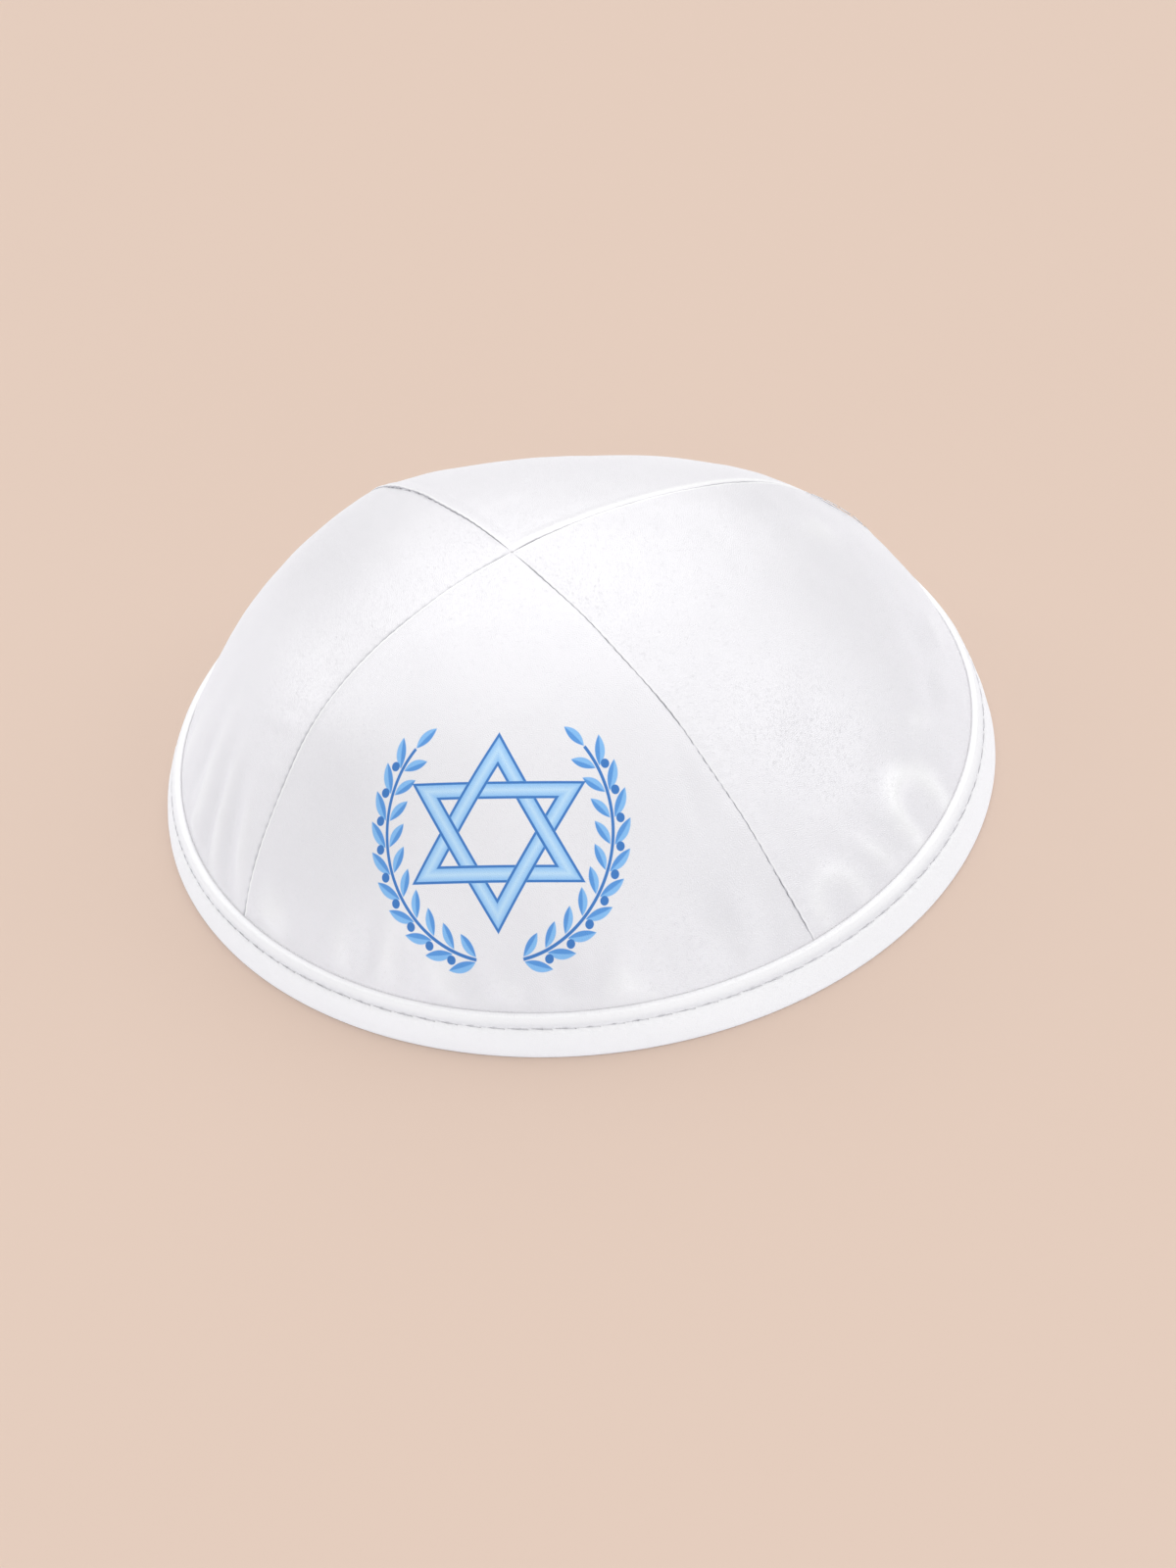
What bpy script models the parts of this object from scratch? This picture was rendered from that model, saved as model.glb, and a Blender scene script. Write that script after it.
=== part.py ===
"""Skullcap of four cloth gores, with a folded strip bound round its rim.

Units are metres and +Z is up.  The cap stands on its rim on the plane z = 0, with the middle of
the rim over the origin and the front gore towards -Y.  The four seams lie on the diagonals.
"""
import math
from typing import NamedTuple

import bmesh
import bpy
from mathutils import Vector

COLLECTION = "kippah_skullcap"

# The cap as a whole
RIM_RADIUS = 0.0850         # from the middle of the rim to the outside of its binding
CROWN_HEIGHT = 0.0577       # from the floor to the tip, where the gores meet
TIP_LEFT = 0.0086           # how far the tip leans towards -X
TIP_FRONT = 0.0007          # how far the tip leans towards -Y

# The gores and the seams between them
GORE_WALL = 0.0012          # cloth and its facing
SEAM_GAP = 0.0003           # between two gores
ROLL_DEPTH = 0.0006         # how far a gore's edge rolls down into the seam
ROLL_WIDTH = 0.0026         # how wide that roll is
DENT_DEPTH = 0.0016         # the deepest soft dent in the cloth
DENT_CLEAR = 0.0070         # above the binding, where dents reach their full depth

# The strip folded over the lower edge of the gores
BINDING_CLOTH = 0.0010
BINDING_GAP = 0.0003        # between the strip and the gores inside it
BINDING_HEIGHT = 0.0087     # floor to its top edge outside
INNER_LEG_HEIGHT = 0.0078   # floor to its top edge inside
HEM_HEIGHT = 0.0022         # floor to the lower edge of the gores
FOLD_HEIGHT = 0.0013        # how high the round of the lower fold reaches
FOLD_INSET = 0.0009         # how far that round reaches in from either side
RIDGE_HEIGHT = 0.0023       # the rolled bead along the top edge
RIDGE_RISE = 0.0006         # how far the bead stands out
STITCH_DIP = 0.0003         # how far the stitches pull the strip in below the bead
STITCH_WIDTH = 0.0012       # from that dip to where the strip is flat again

# How finely the cloth is divided
GORE_COLUMNS = 24
GORE_ROWS = 15
HEM_ROWS = 2                # rows of a gore that stand inside the binding
BINDING_STEPS = 96
ROUND_STEPS = 3             # on each round of the binding's section
SEAM_BUNCHING = 0.85        # how much closer the columns stand at the seams

QUARTER = math.pi / 2
TIP_RADIUS = SEAM_GAP / math.sqrt(2)
GORE_RADIUS = RIM_RADIUS - BINDING_CLOTH - BINDING_GAP


class Level(NamedTuple):
    """A level of the crown: its reach, as shares of a plain dome of the same rim and height."""
    climb: float            # 0 at the floor, 90 degrees at the tip
    seam: float             # reach of the seams
    fill: float             # reach of the middle of a gore, as a share of the seams' reach


class Gore(NamedTuple):
    """One of the four gores."""
    name: str
    turn: float             # of its middle, in degrees from +X
    fullness: float         # how much further its middle stands out, as a share
    colour: tuple


class Seam(NamedTuple):
    """One of the four seams."""
    turn: float             # in degrees from +X
    stand: float            # how much further it stands out, as a share


class Dent(NamedTuple):
    """A soft dent, or a fold where its depth is below zero."""
    turn: float             # of its middle, in degrees from +X
    climb: float            # of its middle, in degrees
    wide: float             # half its width, as a share of the rim's radius
    tall: float             # half its height, as a share of the crown's height
    slant: float            # degrees that its top leans towards growing turns
    deep: float             # as a share of DENT_DEPTH


LEVELS = (
    Level(climb=0, seam=1.00, fill=1.00),
    Level(climb=18, seam=0.96, fill=0.98),
    Level(climb=36, seam=0.95, fill=0.97),
    Level(climb=54, seam=0.99, fill=0.95),
    Level(climb=72, seam=1.00, fill=0.93),
    Level(climb=90, seam=1.00, fill=0.91),
)

CLOTH_WHITE = (0.86, 0.86, 0.89)
CLOTH_COOL = (0.82, 0.82, 0.86)

GORES = (
    Gore("gore_right", turn=0, fullness=-0.01, colour=CLOTH_WHITE),
    Gore("gore_back", turn=90, fullness=-0.08, colour=CLOTH_COOL),
    Gore("gore_left", turn=180, fullness=0.01, colour=CLOTH_COOL),
    Gore("gore_front", turn=270, fullness=0.06, colour=CLOTH_WHITE),
)

SEAMS = (
    Seam(turn=45, stand=0.11),
    Seam(turn=135, stand=-0.02),
    Seam(turn=225, stand=-0.04),
    Seam(turn=315, stand=-0.02),
)

DENTS = (
    Dent(turn=13, climb=23, wide=0.10, tall=0.16, slant=-20, deep=0.6),
    Dent(turn=347, climb=17, wide=0.09, tall=0.10, slant=30, deep=0.9),
    Dent(turn=353, climb=24, wide=0.10, tall=0.10, slant=0, deep=-0.6),
    Dent(turn=36, climb=50, wide=0.13, tall=0.16, slant=0, deep=0.7),
    Dent(turn=322, climb=14, wide=0.07, tall=0.09, slant=0, deep=0.7),
    Dent(turn=291, climb=38, wide=0.16, tall=0.22, slant=0, deep=0.5),
    Dent(turn=262, climb=14, wide=0.08, tall=0.12, slant=0, deep=0.8),
    Dent(turn=244, climb=15, wide=0.07, tall=0.14, slant=0, deep=0.7),
    Dent(turn=240, climb=35, wide=0.16, tall=0.24, slant=-15, deep=0.7),
    Dent(turn=214, climb=18, wide=0.06, tall=0.20, slant=-10, deep=0.7),
    Dent(turn=203, climb=20, wide=0.06, tall=0.22, slant=-10, deep=0.8),
    Dent(turn=165, climb=56, wide=0.20, tall=0.20, slant=0, deep=0.7),
)


def share_at(climb, column):
    """A column of the table of levels, read at any climb on one smooth curve."""
    values = [getattr(level, column) for level in LEVELS]
    values = [2 * values[0] - values[1]] + values + [2 * values[-1] - values[-2]]
    step = math.radians(LEVELS[1].climb - LEVELS[0].climb)
    place = min(max(climb / step, 0.0), len(LEVELS) - 1.0)
    index = min(int(place), len(LEVELS) - 2)
    t = place - index
    before, start, end, after = values[index:index + 4]
    bend = 2 * before - 5 * start + 4 * end - after
    turn = 3 * start - before - 3 * end + after
    return start + 0.5 * ((end - before) * t + bend * t ** 2 + turn * t ** 3)


def angle_between(turn_a, turn_b):
    """The signed angle from one turn to another, within half a round."""
    return (turn_a - turn_b + math.pi) % (2 * math.pi) - math.pi


def smooth_step(value):
    """An even rise from 0 to 1."""
    value = min(max(value, 0.0), 1.0)
    return value * value * (3 - 2 * value)


def climb_at(height):
    """The climb that stands at a height above the floor."""
    return math.asin(min(height / CROWN_HEIGHT, 1.0))


def plain_radius(turn, climb):
    """Reach of the crown from its own leaning axis, without rolls and dents."""
    hump = math.sin(2 * climb)
    stand = 0.0
    for seam in SEAMS:
        away = abs(angle_between(turn, math.radians(seam.turn)))
        if away < QUARTER:
            stand += seam.stand * math.cos(away) ** 2
    gore = min(GORES, key=lambda each: abs(angle_between(turn, math.radians(each.turn))))
    off_middle = abs(angle_between(turn, math.radians(gore.turn)))
    belly = max(math.cos(2 * off_middle), 0.0) ** 1.1
    fill = 1 + belly * (share_at(climb, "fill") - 1 + gore.fullness * hump)
    reach = GORE_RADIUS * math.cos(climb) * share_at(climb, "seam")
    return reach * (1 + stand * hump) * fill


def outward(turn, climb):
    """The crown's normal at a place, as its level and its upright share."""
    step = 0.01
    run = plain_radius(turn, climb + step) - plain_radius(turn, climb - step)
    rise = CROWN_HEIGHT * (math.sin(climb + step) - math.sin(climb - step))
    length = math.hypot(run, rise)
    return rise / length, -run / length


def dent_depth(turn, climb):
    """How deep all the dents lie at a place."""
    depth = 0.0
    for dent in DENTS:
        across = GORE_RADIUS * math.cos(climb) * angle_between(turn, math.radians(dent.turn))
        along = 0.5 * (GORE_RADIUS + CROWN_HEIGHT) * (climb - math.radians(dent.climb))
        slant = math.radians(dent.slant)
        side = (across * math.cos(slant) - along * math.sin(slant)) / (dent.wide * RIM_RADIUS)
        rise = (across * math.sin(slant) + along * math.cos(slant)) / (dent.tall * CROWN_HEIGHT)
        depth += dent.deep * math.exp(-side ** 2 - rise ** 2)
    clear = CROWN_HEIGHT * math.sin(climb) - BINDING_HEIGHT
    return DENT_DEPTH * depth * smooth_step(clear / DENT_CLEAR)


def roll_depth(across, radius, height):
    """How far a gore's edge lies below its surface, near the seam."""
    from_seam = radius * QUARTER / 2 * (1 - abs(across))
    edge = max(1 - from_seam / ROLL_WIDTH, 0.0) ** 2
    above = smooth_step((height - BINDING_HEIGHT) / ROLL_WIDTH)
    return ROLL_DEPTH * edge * above * smooth_step(radius / (3 * ROLL_WIDTH))


def lean(x, y, height):
    """Place a point on the crown's leaning axis."""
    share = height / CROWN_HEIGHT
    return Vector((x - TIP_LEFT * share, y - TIP_FRONT * share, height))


def gore_point(gore, across, row, inset):
    """A point of a gore: across is -1 to 1 between its seams, inset is measured into the cloth."""
    middle = math.radians(gore.turn)
    turn = middle + across * QUARTER / 2
    climb = row_climb(row)
    radius = plain_radius(turn, climb)
    height = CROWN_HEIGHT * math.sin(climb)
    inset = inset + dent_depth(turn, climb) + roll_depth(across, radius, height)
    level, upright = outward(turn, climb)
    if row == 0:
        radius -= inset / level
    else:
        radius = max(radius - inset * level, TIP_RADIUS)
        height -= inset * upright
    half = QUARTER / 2 - math.asin(SEAM_GAP / 2 / radius)
    turn = middle + across * half
    return lean(radius * math.cos(turn), radius * math.sin(turn), height)


def hem_height(row):
    """Height of one of a gore's lowest rows, which stand inside the binding."""
    return HEM_HEIGHT + (BINDING_HEIGHT - HEM_HEIGHT) * row / HEM_ROWS


def row_climb(row):
    """The climb of a row of a gore."""
    if row <= HEM_ROWS:
        return climb_at(hem_height(row))
    start = climb_at(BINDING_HEIGHT)
    return start + (QUARTER - start) * (row - HEM_ROWS) / (GORE_ROWS - HEM_ROWS)


def shape_skin(gore, verts, inset):
    """Lay a flat square grid on a gore, its lowest row at the hem and its highest at the tip."""
    for vert in verts:
        side = abs(vert.co.x)
        across = math.copysign(side * (1 + SEAM_BUNCHING * (1 - side)), vert.co.x)
        row = round((vert.co.y + 1) / 2 * GORE_ROWS)
        vert.co = gore_point(gore, across, row, inset)


def gore_mesh(gore):
    """A gore: a grid laid on the crown, with its wall extruded inwards."""
    bm = bmesh.new()
    bmesh.ops.create_grid(bm, x_segments=GORE_COLUMNS, y_segments=GORE_ROWS, size=1.0)
    outside = list(bm.verts)
    extruded = bmesh.ops.extrude_face_region(bm, geom=bm.faces[:])
    inside = [item for item in extruded["geom"] if isinstance(item, bmesh.types.BMVert)]
    shape_skin(gore, outside, 0.0)
    shape_skin(gore, inside, GORE_WALL)
    bmesh.ops.remove_doubles(bm, verts=bm.verts[:], dist=0.00001)
    bmesh.ops.recalc_face_normals(bm, faces=bm.faces[:])
    mesh = bpy.data.meshes.new(gore.name)
    bm.to_mesh(mesh)
    bm.free()
    return mesh


def round_points(centre, size, start, end):
    """Points along a round of the section, from one angle to another, in degrees."""
    points = []
    for step in range(ROUND_STEPS + 1):
        angle = math.radians(start + (end - start) * step / ROUND_STEPS)
        points.append((centre[0] + size[0] * math.cos(angle), centre[1] + size[1] * math.sin(angle)))
    return points


def binding_section():
    """The strip's section, as places out from the gores' outer face and up from the floor."""
    out = BINDING_GAP + BINDING_CLOTH
    inner_wall = -GORE_WALL - BINDING_GAP
    inner = inner_wall - BINDING_CLOTH
    channel = HEM_HEIGHT - BINDING_GAP
    ridge_low = BINDING_HEIGHT - RIDGE_HEIGHT
    fold = (FOLD_INSET, FOLD_HEIGHT)
    ridge_centre = (out - STITCH_DIP, ridge_low + RIDGE_HEIGHT / 2)
    ridge = (RIDGE_RISE + STITCH_DIP, RIDGE_HEIGHT / 2)
    section = round_points((inner + FOLD_INSET, FOLD_HEIGHT), fold, 180, 270)
    section += round_points((out - FOLD_INSET, FOLD_HEIGHT), fold, 270, 360)
    section.append((out, ridge_low - STITCH_WIDTH))
    section += round_points(ridge_centre, ridge, -90, 90)
    section += [(BINDING_GAP, hem_height(row)) for row in range(HEM_ROWS, 0, -1)]
    section.append((BINDING_GAP, channel))
    section.append((inner_wall, channel))
    section += [(inner_wall, hem_height(row)) for row in range(1, HEM_ROWS)]
    section.append((inner_wall, INNER_LEG_HEIGHT))
    section.append((inner, INNER_LEG_HEIGHT))
    return section


def binding_mesh():
    """The binding: its section spun into a ring, then laid against the gores all round."""
    bm = bmesh.new()
    verts = [bm.verts.new((GORE_RADIUS + out, 0, up)) for out, up in binding_section()]
    edges = [bm.edges.new((vert, verts[i - 1])) for i, vert in enumerate(verts)]
    bmesh.ops.spin(bm, geom=verts + edges, cent=(0, 0, 0), axis=(0, 0, 1), angle=2 * math.pi,
                   steps=BINDING_STEPS, use_merge=True)
    for vert in bm.verts:
        turn = math.atan2(vert.co.y, vert.co.x)
        out = math.hypot(vert.co.x, vert.co.y) - GORE_RADIUS
        climb = climb_at(vert.co.z)
        level = outward(turn, climb)[0]
        radius = plain_radius(turn, climb) + out / level
        vert.co = lean(radius * math.cos(turn), radius * math.sin(turn), vert.co.z)
    bmesh.ops.recalc_face_normals(bm, faces=bm.faces[:])
    mesh = bpy.data.meshes.new("rim_binding")
    bm.to_mesh(mesh)
    bm.free()
    return mesh


def cloth_material(name, colour, roughness):
    """Satin cloth."""
    material = bpy.data.materials.new(name)
    material.use_nodes = True
    shader = material.node_tree.nodes["Principled BSDF"]
    shader.inputs["Base Color"].default_value = (*colour, 1)
    shader.inputs["Roughness"].default_value = roughness
    shader.inputs["Metallic"].default_value = 0.0
    material.diffuse_color = (*colour, 1)
    return material


def add_object(collection, name, mesh, material):
    """Put a finished mesh in the cap's collection."""
    mesh.shade_smooth()
    mesh.set_sharp_from_angle(angle=math.radians(40))
    mesh.materials.append(material)
    piece = bpy.data.objects.new(name, mesh)
    collection.objects.link(piece)
    return piece


def clear_scene():
    """Remove whatever the file opened with."""
    for item in list(bpy.data.objects):
        bpy.data.objects.remove(item, do_unlink=True)


def main():
    """Build the cap."""
    clear_scene()
    collection = bpy.data.collections.new(COLLECTION)
    bpy.context.scene.collection.children.link(collection)
    for gore in GORES:
        cloth = cloth_material(gore.name + "_satin", gore.colour, 0.42)
        add_object(collection, gore.name, gore_mesh(gore), cloth)
    strip = cloth_material("binding_satin", CLOTH_WHITE, 0.48)
    add_object(collection, "rim_binding", binding_mesh(), strip)


main()
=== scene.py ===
"""Looks of a white satin skullcap: four gores, a bound rim, its stitches and a printed front.

Everything is in metres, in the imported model's frame.  The cap stands on its rim on z = 0, the
front gore faces -Y, and the tip leans towards -X.  A turn is an angle round the cap from +X, and
a climb is an angle up the crown, 0 at the floor and 90 degrees at the tip.
"""
import logging
import math
from dataclasses import dataclass
from enum import Enum

import bmesh
import bpy
import numpy as np
from mathutils import Matrix, Vector


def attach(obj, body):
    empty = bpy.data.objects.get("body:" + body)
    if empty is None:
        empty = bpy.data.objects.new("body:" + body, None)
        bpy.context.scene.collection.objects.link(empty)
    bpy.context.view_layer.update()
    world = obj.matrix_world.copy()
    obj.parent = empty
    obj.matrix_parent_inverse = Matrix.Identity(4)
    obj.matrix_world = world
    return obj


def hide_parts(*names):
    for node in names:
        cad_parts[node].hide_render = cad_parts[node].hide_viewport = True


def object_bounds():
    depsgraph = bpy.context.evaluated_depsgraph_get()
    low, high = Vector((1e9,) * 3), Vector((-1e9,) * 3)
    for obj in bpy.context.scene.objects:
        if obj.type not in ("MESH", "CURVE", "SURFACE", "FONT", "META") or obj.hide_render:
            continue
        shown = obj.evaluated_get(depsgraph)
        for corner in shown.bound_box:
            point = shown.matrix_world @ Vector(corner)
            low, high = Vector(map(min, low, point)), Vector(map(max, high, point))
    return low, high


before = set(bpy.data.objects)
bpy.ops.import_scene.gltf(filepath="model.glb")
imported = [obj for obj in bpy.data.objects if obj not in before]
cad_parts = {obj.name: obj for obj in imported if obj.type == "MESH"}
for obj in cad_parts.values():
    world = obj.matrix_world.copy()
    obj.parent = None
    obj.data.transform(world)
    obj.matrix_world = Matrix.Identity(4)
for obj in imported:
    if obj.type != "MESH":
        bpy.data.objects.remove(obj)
CAD_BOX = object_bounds()

LOG = logging.getLogger("skullcap")

MM = 0.001
QUARTER = math.pi / 2
FULL_TURN = 2 * math.pi
SEAM_PITCH = 2.3 * MM
FLOATS_PER_MM = 2.5
FLOAT_SLANT = math.radians(45)
SAME_PLACE = 1e-6
CLOTH_PLACE = "cloth_place"
# Painted highlights and painted shade, one value per point: above 0 painted lighter, below 0 painted
# darker.
PAINTED_SHADING = "painted_shading"

Array = np.ndarray
Number = float | Array


def smooth_step(value: Number) -> Array:
    """Return an even rise from 0 to 1 as value goes from 0 to 1."""
    value = np.clip(value, 0.0, 1.0)
    return value * value * (3.0 - 2.0 * value)


def hill(value: Number, middle: float, wide: float) -> Array:
    """Return a smooth hill, 1 high at middle, that falls off over the distance wide."""
    return np.exp(-((value - middle) / wide) ** 2)


def angle_between(turn: Number, middle: float) -> Array:
    """Return the signed angle from middle to turn, within half a round."""
    return (turn - middle + math.pi) % FULL_TURN - math.pi


def curve_through(places: Number, values: tuple[float, ...], step: float) -> Array:
    """Read a smooth curve through evenly spaced values.

    Args:
        places: where to read the curve.
        values: the curve's values at 0, step, 2 * step and so on.
        step: the spacing of the values.

    Returns:
        The curve's value at each place.
    """
    known = np.array([2 * values[0] - values[1], *values, 2 * values[-1] - values[-2]])
    at = np.clip(np.asarray(places) / step, 0.0, len(values) - 1.0)
    index = np.minimum(at.astype(int), len(values) - 2)
    part = at - index
    before, start, end, after = (known[index + shift] for shift in range(4))
    bend = 2 * before - 5 * start + 4 * end - after
    twist = 3 * start - before - 3 * end + after
    return start + 0.5 * ((end - before) * part + bend * part ** 2 + twist * part ** 3)


class Ripple:
    """A soft irregular wave over a surface, the same on each run."""

    def __init__(self, seed: int, wave: float, waves: int = 7) -> None:
        """Choose the directions and phases.

        Args:
            seed: chooses the ripple.
            wave: its usual wavelength.
            waves: how many plain waves it is made of.
        """
        chance = np.random.default_rng(seed)
        heading = chance.uniform(0.0, math.pi, waves)
        lengths = wave * chance.uniform(0.7, 1.5, waves)
        self.across = FULL_TURN * np.cos(heading) / lengths
        self.along = FULL_TURN * np.sin(heading) / lengths
        self.phase = chance.uniform(0.0, FULL_TURN, waves)

    def at(self, across: Array, along: Array) -> Array:
        """Return the ripple, about -1 to 1, at places given by two lengths."""
        total = np.zeros(np.broadcast(across, along).shape)
        for run, rise, phase in zip(self.across, self.along, self.phase):
            total += np.sin(run * across + rise * along + phase)
        return total / math.sqrt(2 * len(self.phase))


@dataclass(frozen=True)
class Level:
    """A level of the crown: its reach, as shares of a plain dome of the same rim and height."""

    climb: float
    seam: float
    fill: float


@dataclass(frozen=True)
class Dent:
    """A soft dent in the cloth, or a fold that stands out where deep is below zero.

    Its turn, climb and slant are in degrees.  It is wide as a share of the rim's radius and tall
    as a share of the crown's height.  A bow bends its long side, so that its two ends lie lower
    than its middle.  An arch makes it a bent fold of that thickness, as a share of its radius,
    with both legs running to the rim.
    """

    turn: float
    climb: float
    wide: float
    tall: float
    slant: float
    deep: float
    bow: float = 0.0
    arch: float = 0.0


@dataclass(frozen=True)
class Crown:
    """The form that all the cloth follows."""

    rim_radius: float = 85.0 * MM
    height: float = CAD_BOX[1][2]
    tip_left: float = 8.6 * MM
    tip_front: float = 0.7 * MM
    strip: float = 1.3 * MM
    levels: tuple[Level, ...] = (
        Level(0, 1.00, 1.00),
        Level(18, 0.96, 0.98),
        Level(36, 0.95, 0.97),
        Level(54, 0.99, 0.95),
        Level(72, 1.00, 0.93),
        Level(90, 1.00, 0.91),
    )
    gore_fullness: tuple[float, ...] = (-0.01, -0.08, 0.01, 0.06)
    seam_stand: tuple[float, ...] = (0.11, -0.02, -0.04, -0.02)

    @property
    def gore_radius(self) -> float:
        """Reach of the gores at the floor."""
        return self.rim_radius - self.strip

    def climb_at(self, height: Number) -> Array:
        """Return the climb at a height above the floor."""
        return np.arcsin(np.clip(np.asarray(height) / self.height, 0.0, 1.0))

    def radius(self, turn: Number, climb: Number) -> Array:
        """Return the crown's reach from its own leaning axis.

        Args:
            turn: angles round the cap.
            climb: angles up the crown.

        Returns:
            The reach at each place, without rolls, dents or ripples.
        """
        step = math.radians(self.levels[1].climb)
        seams = curve_through(climb, tuple(level.seam for level in self.levels), step)
        fills = curve_through(climb, tuple(level.fill for level in self.levels), step)
        hump = np.sin(2 * climb)
        stand = 0.0
        for index, share in enumerate(self.seam_stand):
            away = np.abs(angle_between(turn, QUARTER / 2 + index * QUARTER))
            stand = stand + share * np.where(away < QUARTER, np.cos(away) ** 2, 0.0)
        gore = np.round(np.asarray(turn) / QUARTER).astype(int) % 4
        fullness = np.asarray(self.gore_fullness)[gore]
        belly = np.abs(np.cos(2 * angle_between(turn, 0.0))) ** 1.1
        fill = 1 + belly * (fills - 1 + fullness * hump)
        return self.gore_radius * np.cos(climb) * seams * (1 + stand * hump) * fill

    def outward(self, turn: Number, climb: Number) -> tuple[Array, Array]:
        """Return the level and the upright share of the crown's normal."""
        step = 0.01
        run = self.radius(turn, climb + step) - self.radius(turn, climb - step)
        rise = self.height * (np.sin(climb + step) - np.sin(climb - step))
        length = np.hypot(run, rise)
        return rise / length, -run / length

    def lean(self, turn: Number, reach: Number, height: Number) -> Array:
        """Place points on the leaning axis.

        Args:
            turn: angles round the cap.
            reach: distances from the axis.
            height: heights above the floor.

        Returns:
            Rows of x, y and z.
        """
        share = np.asarray(height) / self.height
        x = reach * np.cos(turn) - self.tip_left * share
        y = reach * np.sin(turn) - self.tip_front * share
        return np.stack(np.broadcast_arrays(x, y, height), axis=-1)

    def place(self, turn: Number, climb: Number, off: Number = 0.0) -> Array:
        """Return points that stand off from the plain crown by a distance."""
        level, upright = self.outward(turn, climb)
        reach = self.radius(turn, climb) + off * level
        return self.lean(turn, reach, self.height * np.sin(climb) + off * upright)

    def along(self, climb: Number) -> Array:
        """Return the length of cloth from the floor up to a climb, near enough for patterns."""
        span = np.linspace(0.0, QUARTER, 91)
        reach = self.gore_radius * np.cos(span)
        height = self.height * np.sin(span)
        steps = np.hypot(np.diff(reach), np.diff(height))
        return np.interp(climb, span, np.concatenate([[0.0], np.cumsum(steps)]))


class Graph:
    """Short calls for laying out a node tree."""

    def __init__(self, tree: bpy.types.NodeTree) -> None:
        """Work on a node tree."""
        self.tree = tree

    def node(self, kind: str, inputs: dict[str, object] | None = None,
             **settings: object) -> bpy.types.Node:
        """Add a node, set its named settings and feed its named inputs."""
        made = self.tree.nodes.new(kind)
        for name, value in settings.items():
            setattr(made, name, value)
        self.feed_all(made, inputs or {})
        return made

    def feed(self, socket: bpy.types.NodeSocket, value: object) -> None:
        """Link a wire to a socket, or set the socket to a constant."""
        if isinstance(value, Wire):
            self.tree.links.new(value.socket, socket)
        else:
            socket.default_value = value

    def feed_all(self, made: bpy.types.Node, values: dict[str, object]) -> None:
        """Feed a node's named inputs."""
        for name, value in values.items():
            self.feed(made.inputs[name], value)

    def math(self, operation: str, *values: object, clamp: bool = False) -> "Wire":
        """Add a math node and return its result."""
        made = self.node("ShaderNodeMath", operation=operation, use_clamp=clamp)
        for socket, value in zip(made.inputs, values):
            self.feed(socket, value)
        return Wire(self, made.outputs[0])

    def blend(self, share: object, first: object, second: object) -> "Wire":
        """Mix two colours by a share."""
        made = self.node("ShaderNodeMix", data_type="RGBA")
        self.feed(made.inputs[0], share)
        self.feed(made.inputs[6], first)
        self.feed(made.inputs[7], second)
        return Wire(self, made.outputs[2])

    def noise(self, where: "Wire", scale: float, detail: float = 2.0) -> "Wire":
        """Add a noise texture and return its grey value, 0 to 1."""
        made = self.node("ShaderNodeTexNoise", {"Vector": where, "Scale": scale, "Detail": detail})
        return Wire(self, made.outputs["Fac"])

    def mapped(self, where: "Wire", kind: str = "POINT", **inputs: object) -> "Wire":
        """Move, turn and stretch coordinates."""
        made = self.node("ShaderNodeMapping", {"Vector": where, **inputs}, vector_type=kind)
        return Wire(self, made.outputs["Vector"])

    def cloth_place(self, scale: float) -> "Wire":
        """Return the place on the flat cloth, in units of 1 / scale metres."""
        made = self.node("ShaderNodeAttribute", attribute_name=CLOTH_PLACE)
        return self.mapped(Wire(self, made.outputs["Vector"]), Scale=(scale, scale, scale))

    def painted_shading(self) -> "Wire":
        """Return the painted shading: 1 for a full painted highlight, -1 for full painted shade."""
        made = self.node("ShaderNodeAttribute", attribute_name=PAINTED_SHADING)
        return Wire(self, made.outputs["Fac"])

    def object_place(self) -> "Wire":
        """Return the place in metres."""
        made = self.node("ShaderNodeTexCoord")
        return Wire(self, made.outputs["Object"])

    def part(self, where: "Wire") -> tuple["Wire", "Wire", "Wire"]:
        """Split coordinates into x, y and z."""
        made = self.node("ShaderNodeSeparateXYZ")
        self.feed(made.inputs[0], where)
        return tuple(Wire(self, socket) for socket in made.outputs)

    def group(self, name: str, **inputs: object) -> dict[str, "Wire"]:
        """Place a node group and return its outputs by name."""
        made = self.node("ShaderNodeGroup", inputs, node_tree=bpy.data.node_groups[name])
        return {socket.name: Wire(self, socket) for socket in made.outputs}

    def relief(self, height: "Wire", distance: float) -> "Wire":
        """Add a bump and return its normal."""
        made = self.node("ShaderNodeBump", {"Height": height, "Distance": distance})
        return Wire(self, made.outputs["Normal"])


@dataclass(frozen=True)
class Wire:
    """A socket whose value can be used in sums."""

    graph: Graph
    socket: bpy.types.NodeSocket

    def __add__(self, other: object) -> "Wire":
        """Add."""
        return self.graph.math("ADD", self, other)

    def __sub__(self, other: object) -> "Wire":
        """Subtract."""
        return self.graph.math("SUBTRACT", self, other)

    def __mul__(self, other: object) -> "Wire":
        """Multiply."""
        return self.graph.math("MULTIPLY", self, other)

    def __truediv__(self, other: object) -> "Wire":
        """Divide."""
        return self.graph.math("DIVIDE", self, other)

    def __neg__(self) -> "Wire":
        """Turn the sign round."""
        return self.graph.math("MULTIPLY", self, -1.0)

    def __abs__(self) -> "Wire":
        """Drop the sign."""
        return self.graph.math("ABSOLUTE", self)

    def largest(self, other: object) -> "Wire":
        """Return the larger of two values."""
        return self.graph.math("MAXIMUM", self, other)

    def smallest(self, other: object) -> "Wire":
        """Return the smaller of two values."""
        return self.graph.math("MINIMUM", self, other)

    def above(self, limit: object, soft: float = 0.12) -> "Wire":
        """Return 1 where the value is above a limit and 0 below it, with a soft edge."""
        return self.graph.math("MULTIPLY_ADD", self - limit, 1.0 / soft, 0.5, clamp=True)


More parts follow.
